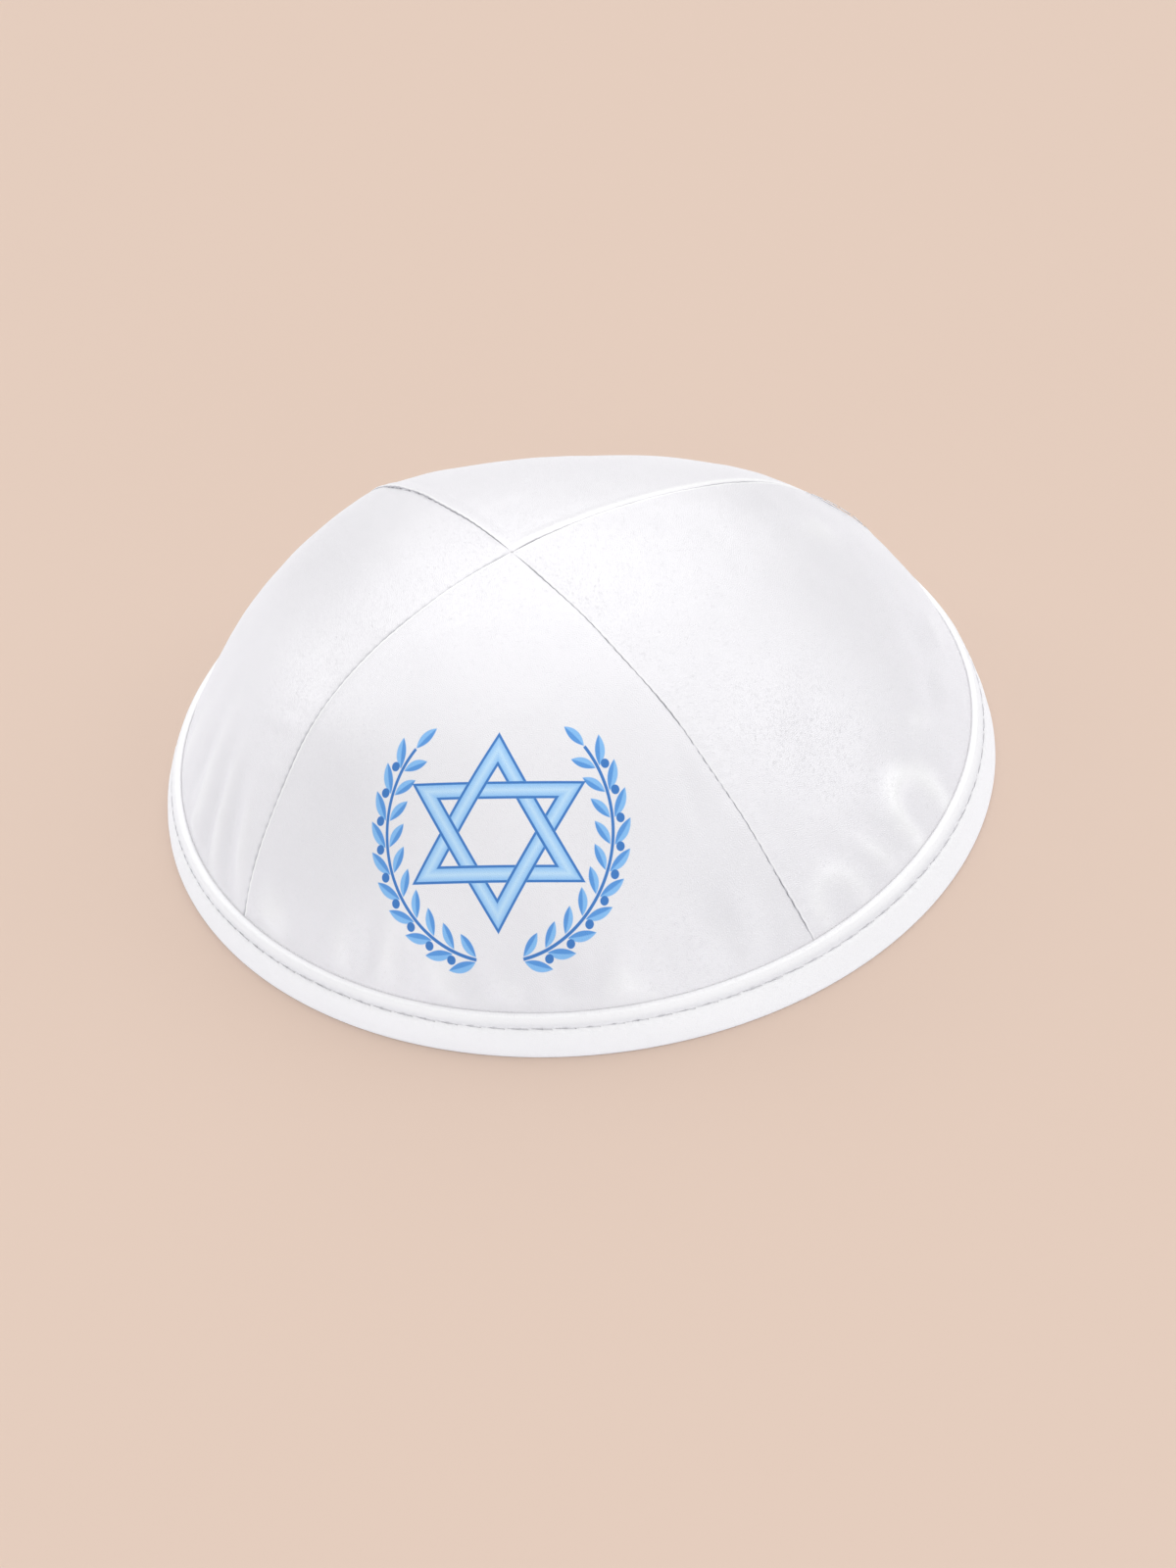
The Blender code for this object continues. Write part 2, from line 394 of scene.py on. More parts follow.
def new_material(name: str) -> tuple[bpy.types.Material, Graph, bpy.types.Node]:
    """Return a new material, its graph and its shader."""
    material = bpy.data.materials.new(name)
    material.use_nodes = True
    return material, Graph(material.node_tree), material.node_tree.nodes["Principled BSDF"]


def new_group(name: str, inputs: dict[str, str], outputs: dict[str, str]) -> tuple[Graph, dict, object]:
    """Start a shader node group with named sockets.

    Args:
        name: the group's name.
        inputs: socket types by input name.
        outputs: socket types by output name.

    Returns:
        The group's graph, its input wires by name, and its output node.
    """
    tree = bpy.data.node_groups.new(name, "ShaderNodeTree")
    for in_out, sockets in (("INPUT", inputs), ("OUTPUT", outputs)):
        for key, kind in sockets.items():
            tree.interface.new_socket(key, in_out=in_out, socket_type="NodeSocket" + kind)
    graph = Graph(tree)
    start = graph.node("NodeGroupInput")
    wires = {key: Wire(graph, start.outputs[key]) for key in inputs}
    return graph, wires, graph.node("NodeGroupOutput")


class NodeGroups(Enum):
    """The effects that several finishes share."""

    WEAVE = "satin weave"
    MOTTLE = "soft mottle"
    INK = "printed ink"


def build_weave_group() -> None:
    """Build the fine relief of satin: short winding floats that tend to one slant."""
    graph, given, end = new_group(
        NodeGroups.WEAVE.value, {"Place": "Vector", "Float": "Float", "Grain": "Float"},
        {"Height": "Float", "Shade": "Float"})
    place = given["Place"]
    winding = graph.node("ShaderNodeTexGabor", {
        "Vector": place, "Scale": 1.0, "Frequency": FLOATS_PER_MM, "Anisotropy": 0.45,
        "Orientation": FLOAT_SLANT}, gabor_type="2D")
    floats = Wire(graph, winding.outputs["Value"])
    grain = graph.noise(place, 3.4, detail=2.0)
    height = (floats - 0.5) * given["Float"] + (grain - 0.5) * given["Grain"]
    graph.feed(end.inputs["Height"], height)
    # Shade follows the same floats and grain as Height, so the finishes paint the weave's low parts
    # darker, a painted shade.
    graph.feed(end.inputs["Shade"], (floats * 0.7 + grain * 0.3).above(0.5, soft=0.6))


def build_mottle_group() -> None:
    """Build a broad, faint unevenness of the cloth's white."""
    graph, given, end = new_group(
        NodeGroups.MOTTLE.value, {"Place": "Vector"}, {"Mask": "Float"})
    broad = graph.noise(given["Place"], 45.0, detail=2.0)
    close = graph.noise(given["Place"], 210.0, detail=2.0)
    graph.feed(end.inputs["Mask"], (broad * 0.6 + close * 0.4).above(0.5, soft=0.5))


@dataclass(frozen=True)
class PrintDesign:
    """A flat print: a traditional star of two triangles inside an open olive wreath.

    Its sizes are in millimetres on the cloth.
    """

    star_inside: float = 9.8
    bar: float = 3.4
    line: float = 0.5
    wreath: float = 23.5
    wreath_wide: float = 0.94
    wreath_tall: float = 1.06
    wreath_end: float = 132.0
    stem: float = 0.32
    leaf_long: float = 2.9
    leaf_wide: float = 1.05
    leaf_out: float = 2.0
    leaf_turn: float = 34.0
    leaf_pitch: float = 12.0
    olive: float = 0.85
    olive_out: float = 1.6
    pale_blue: tuple[float, ...] = (0.52, 0.75, 0.97, 1.0)
    sky_blue: tuple[float, ...] = (0.24, 0.52, 0.90, 1.0)
    mid_blue: tuple[float, ...] = (0.045, 0.20, 0.56, 1.0)
    leaf_blue: tuple[float, ...] = (0.10, 0.32, 0.74, 1.0)

    def build_group(self) -> None:
        """Build the node group that paints the print."""
        graph, given, end = new_group(
            NodeGroups.INK.value, {"Place": "Vector"}, {"Ink": "Float", "Color": "Color"})
        x, y, _ = graph.part(given["Place"])
        fill, line, middle = self.star(graph, x, y)
        leaves, halves, stems = self.branches(graph, x, y)
        colour = graph.blend(middle, self.sky_blue, self.pale_blue)
        colour = graph.blend(leaves, colour, self.leaf_blue)
        colour = graph.blend(halves, colour, self.sky_blue)
        colour = graph.blend(line.largest(stems), colour, self.mid_blue)
        graph.feed(end.inputs["Color"], colour)
        graph.feed(end.inputs["Ink"], fill.largest(line).largest(leaves).largest(stems))

    def bars(self, distance: Wire) -> tuple[Wire, Wire, Wire]:
        """Return the masks of a triangle's bars, of the lines along their edges and their middles."""
        middle = self.star_inside - self.bar / 2
        away = abs(distance - middle)
        fill = (-away).above(-self.bar / 2)
        line = (-abs(away - (self.bar / 2 - self.line / 2))).above(-self.line / 2)
        return fill, line, (-away).above(-self.bar * 0.22, soft=self.bar * 0.4)

    def star(self, graph: Graph, x: Wire, y: Wire) -> tuple[Wire, Wire, Wire]:
        """Return the masks of the woven star's bars, of their edge lines and their pale middles."""
        right = x * math.cos(math.radians(30)) + y * 0.5
        left = x * -math.cos(math.radians(30)) + y * 0.5
        upward = (-y).largest(right).largest(left)
        downward = -((-y).smallest(right).smallest(left))
        up_fill, up_line, up_middle = self.bars(upward)
        down_fill, down_line, down_middle = self.bars(downward)
        over = (x * (x * x - y * y * 3.0)).above(0.0, soft=1.0)
        under = graph.math("SUBTRACT", 1.0, over)
        top = up_fill * over + down_fill * under
        line_top = up_line * over + down_line * under
        line_below = down_line * over + up_line * under
        clear = graph.math("SUBTRACT", 1.0, top)
        middle = (up_middle * over + down_middle * under).largest(
            (down_middle * over + up_middle * under) * clear)
        return up_fill.largest(down_fill), line_top.largest(line_below * clear), middle

    @staticmethod
    def leaf(graph: Graph, length: Wire, width: Wire) -> tuple[Wire, Wire]:
        """Return the masks of a pointed leaf and of its pale half, from shares of its half sizes."""
        taper = graph.math("SUBTRACT", 1.0, length * length).largest(0.0)
        leaf = (taper - abs(width)).above(0.08, soft=0.15)
        return leaf, leaf * width.above(0.0, soft=0.2)

    def branches(self, graph: Graph, x: Wire, y: Wire) -> tuple[Wire, Wire, Wire]:
        """Return the masks of the wreath's leaves, their pale halves, and its stems and olives."""
        x = x * (1.0 / self.wreath_wide)
        y = y * (1.0 / self.wreath_tall)
        turn = graph.math("ARCTAN2", abs(x), -y)
        reach = graph.math("SQRT", x * x + y * y)
        pitch = math.radians(self.leaf_pitch)
        local = graph.math("FLOORED_MODULO", turn, pitch) - pitch / 2
        across = local * self.wreath
        end = math.radians(self.wreath_end)
        ends = turn.above(pitch, soft=0.01) * (-turn).above(-end, soft=0.01)
        between_leaves = turn.above(1.5 * pitch, soft=0.01) * (-turn).above(pitch / 2 - end, soft=0.01)
        pairs = []
        for side in (1.0, -1.0):
            lean = math.radians(self.leaf_turn) * side
            out = reach - (self.wreath + side * self.leaf_out)
            length = (across * math.cos(lean) + out * math.sin(lean)) / self.leaf_long
            width = (out * math.cos(lean) - across * math.sin(lean)) / self.leaf_wide
            pairs.append(self.leaf(graph, length, width))
        leaves, halves = (outer.largest(inner) for outer, inner in zip(*pairs))
        tip, half_tip = self.leaf(graph, ((turn - end) * self.wreath - self.leaf_long) / self.leaf_long,
                                  (reach - self.wreath) / self.leaf_wide)
        stem = (-abs(reach - self.wreath)).above(-self.stem) * ends
        between = graph.math("FLOORED_MODULO", turn + pitch / 2, pitch) - pitch / 2
        spot = graph.math("SQRT", graph.math("POWER", between * self.wreath, 2.0)
                          + graph.math("POWER", reach - (self.wreath + self.olive_out), 2.0))
        olive = (-spot).above(-self.olive) * between_leaves
        return (leaves * ends).largest(tip), (halves * ends).largest(half_tip), stem.largest(olive)


@dataclass(frozen=True)
class SatinFinish:
    """White satin, with the print where asked."""

    name: str
    white: tuple[float, ...] = (0.91, 0.898, 0.926, 1.0)
    shade: tuple[float, ...] = (0.80, 0.79, 0.82, 1.0)
    # fold is the colour of the painted highlights, seam the colour of the painted shade in seams, dents,
    # below the rim's bead and at its holes.
    fold: tuple[float, ...] = (1.0, 1.0, 1.0, 1.0)
    seam: tuple[float, ...] = (0.50, 0.50, 0.53, 1.0)
    roughness: float = 0.35
    gloss: float = 0.28
    sheen: float = 0.15
    sheen_roughness: float = 0.4
    float_height: float = 1.0
    grain_height: float = 0.6
    relief: float = 0.075 * MM
    print_frame: Matrix | None = None

    def build(self) -> bpy.types.Material:
        """Return the finish as a material."""
        material, graph, shader = new_material(self.name)
        weave = graph.group(NodeGroups.WEAVE.value, Place=graph.cloth_place(1 / MM),
                            Float=self.float_height, Grain=self.grain_height)
        mottle = graph.group(NodeGroups.MOTTLE.value, Place=graph.object_place())["Mask"]
        # The white is darker where the weave lies low, a painted shade, and faintly uneven by the
        # mottle.
        tint = mottle * 0.2 + weave["Shade"] * 0.8
        colour = graph.blend(tint, self.shade, self.white)
        # Painted shading: painted highlights blend the white towards fold, painted shade blends it
        # towards seam.
        painted_shading = graph.painted_shading()
        colour = graph.blend(painted_shading.largest(0.0), colour, self.fold)
        colour = graph.blend((-painted_shading).largest(0.0), colour, self.seam)
        rough = weave["Shade"] * -0.08 + self.roughness + 0.04
        if self.print_frame is not None:
            colour, rough = self.add_print(graph, colour, rough)
        graph.feed_all(shader, {
            "Base Color": colour,
            "Roughness": rough,
            "Normal": graph.relief(weave["Height"], self.relief),
            "Metallic": self.gloss,
            "Sheen Weight": self.sheen,
            "Sheen Roughness": self.sheen_roughness,
        })
        return material

    def add_print(self, graph: Graph, colour: Wire, rough: Wire) -> tuple[Wire, Wire]:
        """Lay the print over the cloth.

        Args:
            graph: the material's graph.
            colour: the cloth's colour.
            rough: the cloth's roughness.

        Returns:
            The colour and the roughness with the print on.
        """
        place = graph.mapped(graph.object_place(), kind="TEXTURE",
                             Location=self.print_frame.to_translation(),
                             Rotation=self.print_frame.to_euler(), Scale=(MM, MM, MM))
        ink = graph.group(NodeGroups.INK.value, Place=place)
        colour = graph.blend(ink["Ink"], colour, ink["Color"])
        return colour, rough + ink["Ink"] * 0.06


@dataclass(frozen=True)
class ThreadFinish:
    """Twisted white sewing thread."""

    name: str = "thread_white"
    colour: tuple[float, ...] = (0.96, 0.955, 0.97, 1.0)
    hollow: tuple[float, ...] = (0.88, 0.88, 0.91, 1.0)
    twist_scale: float = 5200.0
    relief: float = 0.01 * MM

    def build(self) -> bpy.types.Material:
        """Return the finish as a material."""
        material, graph, shader = new_material(self.name)
        twist = graph.noise(graph.object_place(), self.twist_scale, detail=1.0)
        graph.feed_all(shader, {
            # hollow darkens the low parts of the twist relief, a painted shade.
            "Base Color": graph.blend(twist.above(0.5, soft=0.4), self.hollow, self.colour),
            "Normal": graph.relief(twist, self.relief),
            "Roughness": twist * 0.1 + 0.35,
        })
        return material


@dataclass(frozen=True)
class FloorFinish:
    """A plain pale floor with the faintest unevenness, whose own light on the cap is neutral."""

    name: str = "floor_beige"
    colour: tuple[float, ...] = (0.735, 0.575, 0.481, 1.0)
    deeper: tuple[float, ...] = (0.726, 0.568, 0.475, 1.0)
    bounce: tuple[float, ...] = (0.95, 0.94, 0.96, 1.0)
    cloud_scale: float = 6.0

    def build(self) -> bpy.types.Material:
        """Return the finish as a material."""
        material, graph, shader = new_material(self.name)
        cloud = graph.noise(graph.object_place(), self.cloud_scale)
        seen = Wire(graph, graph.node("ShaderNodeLightPath").outputs["Is Camera Ray"])
        beige = graph.blend(cloud, self.deeper, self.colour)
        graph.feed_all(shader, {
            "Base Color": graph.blend(seen, self.bounce, beige),
            "Roughness": cloud * 0.05 + 0.85,
            "Specular IOR Level": 0.1,
        })
        return material


class EdgeKind(Enum):
    """How a gore's cloth lies along one of its seams."""

    RAISED = "over the allowance"
    LOW = "under the neighbour"
    CREASED = "folded sharply"


ROUND_OFF = {EdgeKind.RAISED: 0.34 * MM, EdgeKind.LOW: 0.24 * MM, EdgeKind.CREASED: 0.14 * MM}


@dataclass(frozen=True)
class SeamEdge:
    """The relief of a gore along one seam, and the highlight and shade painted along it."""

    kind: EdgeKind
    band: float = 2.0 * MM
    rise: float = 0.12 * MM
    hollow: float = 0.08 * MM
    depth: float = 0.09 * MM
    # The lip values set the painted highlight along the seam's lip, the groove value the width of the
    # painted shade in the seam.
    lip_highlight: float = 0.0
    lip_highlight_away: float = 0.28 * MM
    lip_highlight_wide: float = 0.18 * MM
    groove_shade: float = 0.09 * MM
    pucker: float = 0.0
    pucker_reach: float = 0.7 * MM
    pucker_to: float = 120.0 * MM
    pucker_ends: float = 6.0 * MM
    fall: float = 2.4 * MM
    hollow_reach: float = 1.3 * MM

    def height(self, away: Array, along: Array) -> Array:
        """Return the relief.

        Args:
            away: distances from the seam, over the cloth.
            along: distances from the floor, over the cloth.

        Returns:
            How far the cloth stands out at each place.
        """
        if self.kind is EdgeKind.RAISED:
            rise = self.rise
            profile = rise * (1.0 - smooth_step((away - self.band) / self.fall))
        elif self.kind is EdgeKind.CREASED:
            rise = self.rise
            profile = rise * hill(away, 0.0, self.band / 2)
            profile = profile + 0.3 * rise * hill(away, 0.25 * MM, 0.25 * MM)
        else:
            rise = 0.0
            profile = -self.hollow * hill(away, 0.0, self.hollow_reach)
        inner = np.clip(1.0 - away / ROUND_OFF[self.kind], 0.0, 1.0)
        roll = 1.0 - np.sqrt(np.clip(1.0 - inner ** 2, 0.0, 1.0))
        return profile - (self.depth + rise) * roll + self.puckers(away, along)

    def painted_shading(self, away: Array, along: Array) -> Array:
        """Return the painted shading: a painted highlight along the lip, painted shade down in the seam.
        """
        stitch = np.cos(FULL_TURN * along / SEAM_PITCH)
        highlight_band = hill(away, self.lip_highlight_away, self.lip_highlight_wide)
        # Painted highlight along the lip beside the seam, painted shade in the seam's groove, wider at
        # each stitch.
        return self.lip_highlight * highlight_band - hill(away, 0.0, self.groove_shade * (1.0 + 0.25 * stitch))

    def puckers(self, away: Array, along: Array) -> Array:
        """Return the small puckers that the seam's stitches pull up beside it."""
        if self.pucker == 0.0:
            return np.zeros_like(away)
        wander = 0.4 * np.sin(along / (5.1 * MM)) + 0.3 * np.sin(along / (2.9 * MM) + 1.0)
        wave = np.cos(FULL_TURN * along / SEAM_PITCH + 2.0 * wander)
        share = 0.65 + 0.35 * np.sin(along / (6.7 * MM) + 0.5)
        beside = hill(away, self.band, self.pucker_reach)
        reach = smooth_step(along / self.pucker_ends)
        reach = reach * smooth_step((self.pucker_to - along) / self.pucker_ends)
        return self.pucker * wave * share * beside * reach


@dataclass
class Gore:
    """One cloth gore of the crown, with its seams, dents and ripples."""

    name: str
    crown: Crown
    turn: float
    low_edge: SeamEdge
    high_edge: SeamEdge
    slot: str
    finish: SatinFinish
    dents: tuple[Dent, ...] = ()
    seed: int = 1
    wall: float = 1.1 * MM
    hem: float = 2.2 * MM
    binding_top: float = 8.7 * MM
    seam_gap: float = 0.015 * MM
    dent_depth: float = 1.6 * MM
    ridge_highlight: float = 1.0
    # Shares of painted highlight on folds that stand out and of painted shade in dents.
    shaded: float = 0.10
    ripple: float = 0.11 * MM
    long_wave: float = 24 * MM
    short_wave: float = 9 * MM
    gather: float = 0.26 * MM
    gather_height: float = 12 * MM
    gather_reach: float = 9 * MM
    columns: int = 168
    seam_columns: int = 18
    seam_zone: float = 3.4 * MM
    rows: int = 226
    hem_rows: int = 6

    def row_climbs(self) -> Array:
        """Return the climb of each row, from the hem to the tip."""
        top = float(self.crown.climb_at(self.binding_top - 0.7 * MM))
        low = float(self.crown.climb_at(self.hem))
        hem = np.linspace(low, top, self.hem_rows, endpoint=False)
        return np.concatenate([hem, np.linspace(top, QUARTER, self.rows + 1 - self.hem_rows)])

    def column_shares(self, reach: Array) -> Array:
        """Return where the columns of half a gore stand, dense beside the seam.

        Args:
            reach: the seam's reach at each row.

        Returns:
            A row of distances from the seam for each level, as shares of half the gore.
        """
        half = self.columns // 2
        index = np.arange(half + 1)
        width = np.maximum(reach * QUARTER / 2, 1e-9)[:, None]
        zone = np.minimum(self.seam_zone, width / 2)
        near = zone * (np.minimum(index, self.seam_columns) / self.seam_columns) ** 1.7
        rest = (width - zone) * np.maximum(index - self.seam_columns, 0)
        return (near + rest / (half - self.seam_columns)) / width

    def relief(self, turn: Array, climb: Array, across: Array) -> Array:
        """Return how far the cloth stands out from the plain crown.

        Args:
            turn: angles round the cap.
            climb: angles up the crown.
            across: -1 to 1 between the gore's two seams.

        Returns:
            The relief at each place.
        """
        reach = self.crown.radius(turn, climb)
        along = self.crown.along(climb) + 0.0 * across
        arc = reach * angle_between(turn, math.radians(self.turn))
        bare = smooth_step((self.crown.height * np.sin(climb) - self.binding_top) / (3 * MM))
        near_tip = smooth_step(reach / (7 * MM))
        edges = self.low_edge.height(reach * QUARTER / 2 * (1 + across), along)
        edges = edges + self.high_edge.height(reach * QUARTER / 2 * (1 - across), along)
        waves = self.ripple * Ripple(self.seed, self.long_wave).at(arc, along)
        waves = waves + 0.35 * self.ripple * Ripple(self.seed + 50, self.short_wave).at(arc, along)
        low = hill(along, self.gather_height, self.gather_reach)
        gathers = self.gather * Ripple(self.seed + 90, self.short_wave).at(arc, 0.25 * along) * low
        return (edges * near_tip + waves + gathers - self.dent_depth * self.dent(turn, climb)) * bare

    def painted_shading(self, turn: Array, climb: Array, across: Array) -> Array:
        """Return the painted shading along the gore's seams, with painted highlights on its standing
        folds and painted shade in its dents.
        """
        seam_reach = self.crown.radius(math.radians(self.turn) + QUARTER / 2, climb)
        along = self.crown.along(climb)
        half = seam_reach * QUARTER / 2
        total = self.low_edge.painted_shading(half * (1 + across), along)
        total = total + self.high_edge.painted_shading(half * (1 - across), along)
        total = np.clip(total, -1.0, 1.0) * smooth_step(half / (2 * MM))
        dents = self.dent(turn, climb)
        # Folds that stand out get a painted highlight, dents a painted shade.
        return total + np.where(dents < 0.0, -self.ridge_highlight, -self.shaded) * dents

    def dent(self, turn: Array, climb: Array) -> Array:
        """Return the depth of all the dents, as a share of the deepest."""
        crown = self.crown
        total = np.zeros(np.broadcast(turn, climb).shape)
        for each in self.dents:
            across = crown.gore_radius * np.cos(climb) * angle_between(turn, math.radians(each.turn))
            along = (crown.gore_radius + crown.height) / 2 * (climb - math.radians(each.climb))
            slant = math.radians(each.slant)
            side = across * math.cos(slant) - along * math.sin(slant)
            rise = across * math.sin(slant) + along * math.cos(slant)
            side = side / (each.wide * crown.rim_radius)
            rise = rise / (each.tall * crown.height) + each.bow * side ** 2
            if each.arch:
                shape = hill(np.hypot(side, np.maximum(rise, 0.0)), 1.0, each.arch)
            else:
                shape = np.exp(-side ** 2 - rise ** 2)
            total += each.deep * shape
        return total

    def wobble(self, along: Array) -> Array:
        """Return how far the seam wanders sideways, the same for both of its gores."""
        stitch = np.sin(FULL_TURN * along / SEAM_PITCH)
        return 0.05 * MM * stitch + 0.10 * MM * np.sin(along / (4.3 * MM))

    def skin(self, across_index: Array, row: Array, inset: float) -> tuple[Array, Array, Array]:
        """Lay grid points on the gore.

        Args:
            across_index: column numbers, 0 in the middle, signed.
            row: row numbers, 0 at the hem.
            inset: how far into the cloth the skin lies.

        Returns:
            Rows of x, y and z, rows of the place on the flat cloth, and the painted shading.
        """
        crown = self.crown
        middle = math.radians(self.turn)
        climbs = self.row_climbs()
        seam_reach = crown.radius(middle + QUARTER / 2, climbs)
        shares = self.column_shares(seam_reach)
        half = self.columns // 2
        share = 1.0 - shares[row, half - np.abs(across_index)]
        across = np.sign(across_index) * share
        climb = climbs[row]
        turn = middle + across * QUARTER / 2
        off = self.relief(turn, climb, across) - inset
        level, upright = crown.outward(turn, climb)
        reach = crown.radius(turn, climb)
        along = crown.along(climb)
        flat = np.stack([reach * (turn - middle), along, np.zeros_like(along)], axis=-1)
        tip_reach = self.seam_gap / math.sqrt(2)
        hem = row == 0
        stretch = np.where(hem, 1.0 / np.maximum(level, 0.5), level)
        reach = np.maximum(reach + off * stretch, tip_reach)
        height = crown.height * np.sin(climb) + np.where(hem, 0.0, off * upright)
        half_turn = QUARTER / 2 - np.arcsin(np.clip(self.seam_gap / 2 / reach, 0.0, 1.0))
        wander = self.wobble(along) * smooth_step(reach / (12 * MM)) * np.abs(across) ** 24
        painted_shading = self.painted_shading(turn, climb, across)
        turn = middle + across * np.minimum(half_turn, QUARTER / 2) + wander / np.maximum(reach, MM)
        return crown.lean(turn, reach, height), flat, painted_shading

    def build(self) -> bpy.types.Object:
        """Return the gore as an object: a grid laid on the crown, with its wall extruded."""
        bm = bmesh.new()
        bmesh.ops.create_grid(bm, x_segments=self.columns, y_segments=self.rows, size=1.0)
        outside = len(bm.verts)
        bmesh.ops.extrude_face_region(bm, geom=bm.faces[:])
        square = np.array([vert.co[:2] for vert in bm.verts])
        column = np.rint(square[:, 0] * self.columns / 2).astype(int)
        row = np.rint((square[:, 1] + 1) * self.rows / 2).astype(int)
        skins = (self.skin(column[:outside], row[:outside], 0.0),
                 self.skin(column[outside:], row[outside:], self.wall))
        lay_points(bm, *(np.concatenate(parts) for parts in zip(*skins)))
        bmesh.ops.remove_doubles(bm, verts=bm.verts[:], dist=SAME_PLACE)
        bmesh.ops.recalc_face_normals(bm, faces=bm.faces[:])
        return finish_piece(bm, self.name + "_satin", self.finish.build(), (self.name,))


def lay_points(bm: bmesh.types.BMesh, points: Array, flat: Array, painted_shading: Array) -> None:
    """Move a mesh's points and note where each lies on the flat cloth, and its painted shading.

    Args:
        bm: the mesh.
        points: a row of x, y and z for each point.
        flat: a row for each point of its place on the flat cloth.
        painted_shading: the painted light and shade, 1 for a point with a full painted highlight, -1 for
            one in full painted shade.
    """
    places = bm.verts.layers.float_vector.new(CLOTH_PLACE)
    painted_layer = bm.verts.layers.float.new(PAINTED_SHADING)
    rows = zip(bm.verts, points.tolist(), flat.tolist(), painted_shading.tolist())
    for vert, point, place, painted_value in rows:
        vert.co = point
        vert[places] = place
        vert[painted_layer] = painted_value


def add_object(name: str, data: bpy.types.ID) -> bpy.types.Object:
    """Make an object and put it in the scene."""
    made = bpy.data.objects.new(name, data)
    bpy.context.scene.collection.objects.link(made)
    return made


def add_mesh(bm: bmesh.types.BMesh, name: str, material: bpy.types.Material) -> bpy.types.Object:
    """Make a mesh, which is freed, an object in the scene."""
    mesh = bpy.data.meshes.new(name)
    bm.to_mesh(mesh)
    bm.free()
    mesh.materials.append(material)
    return add_object(name, mesh)


def finish_piece(bm: bmesh.types.BMesh, name: str, material: bpy.types.Material,
                 replaced: tuple[str, ...] = ()) -> bpy.types.Object:
    """Make a mesh an object that rides on the cap.

    Args:
        bm: the mesh, which is freed.
        name: the piece's name.
        material: its finish.
        replaced: the nodes that it stands for.

    Returns:
        The new object.
    """
    piece = add_mesh(bm, name, material)
    piece.data.shade_smooth()
    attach(piece, "root")
    if replaced:
        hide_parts(*replaced)
    LOG.info("%s: %d faces", name, len(piece.data.polygons))
    return piece


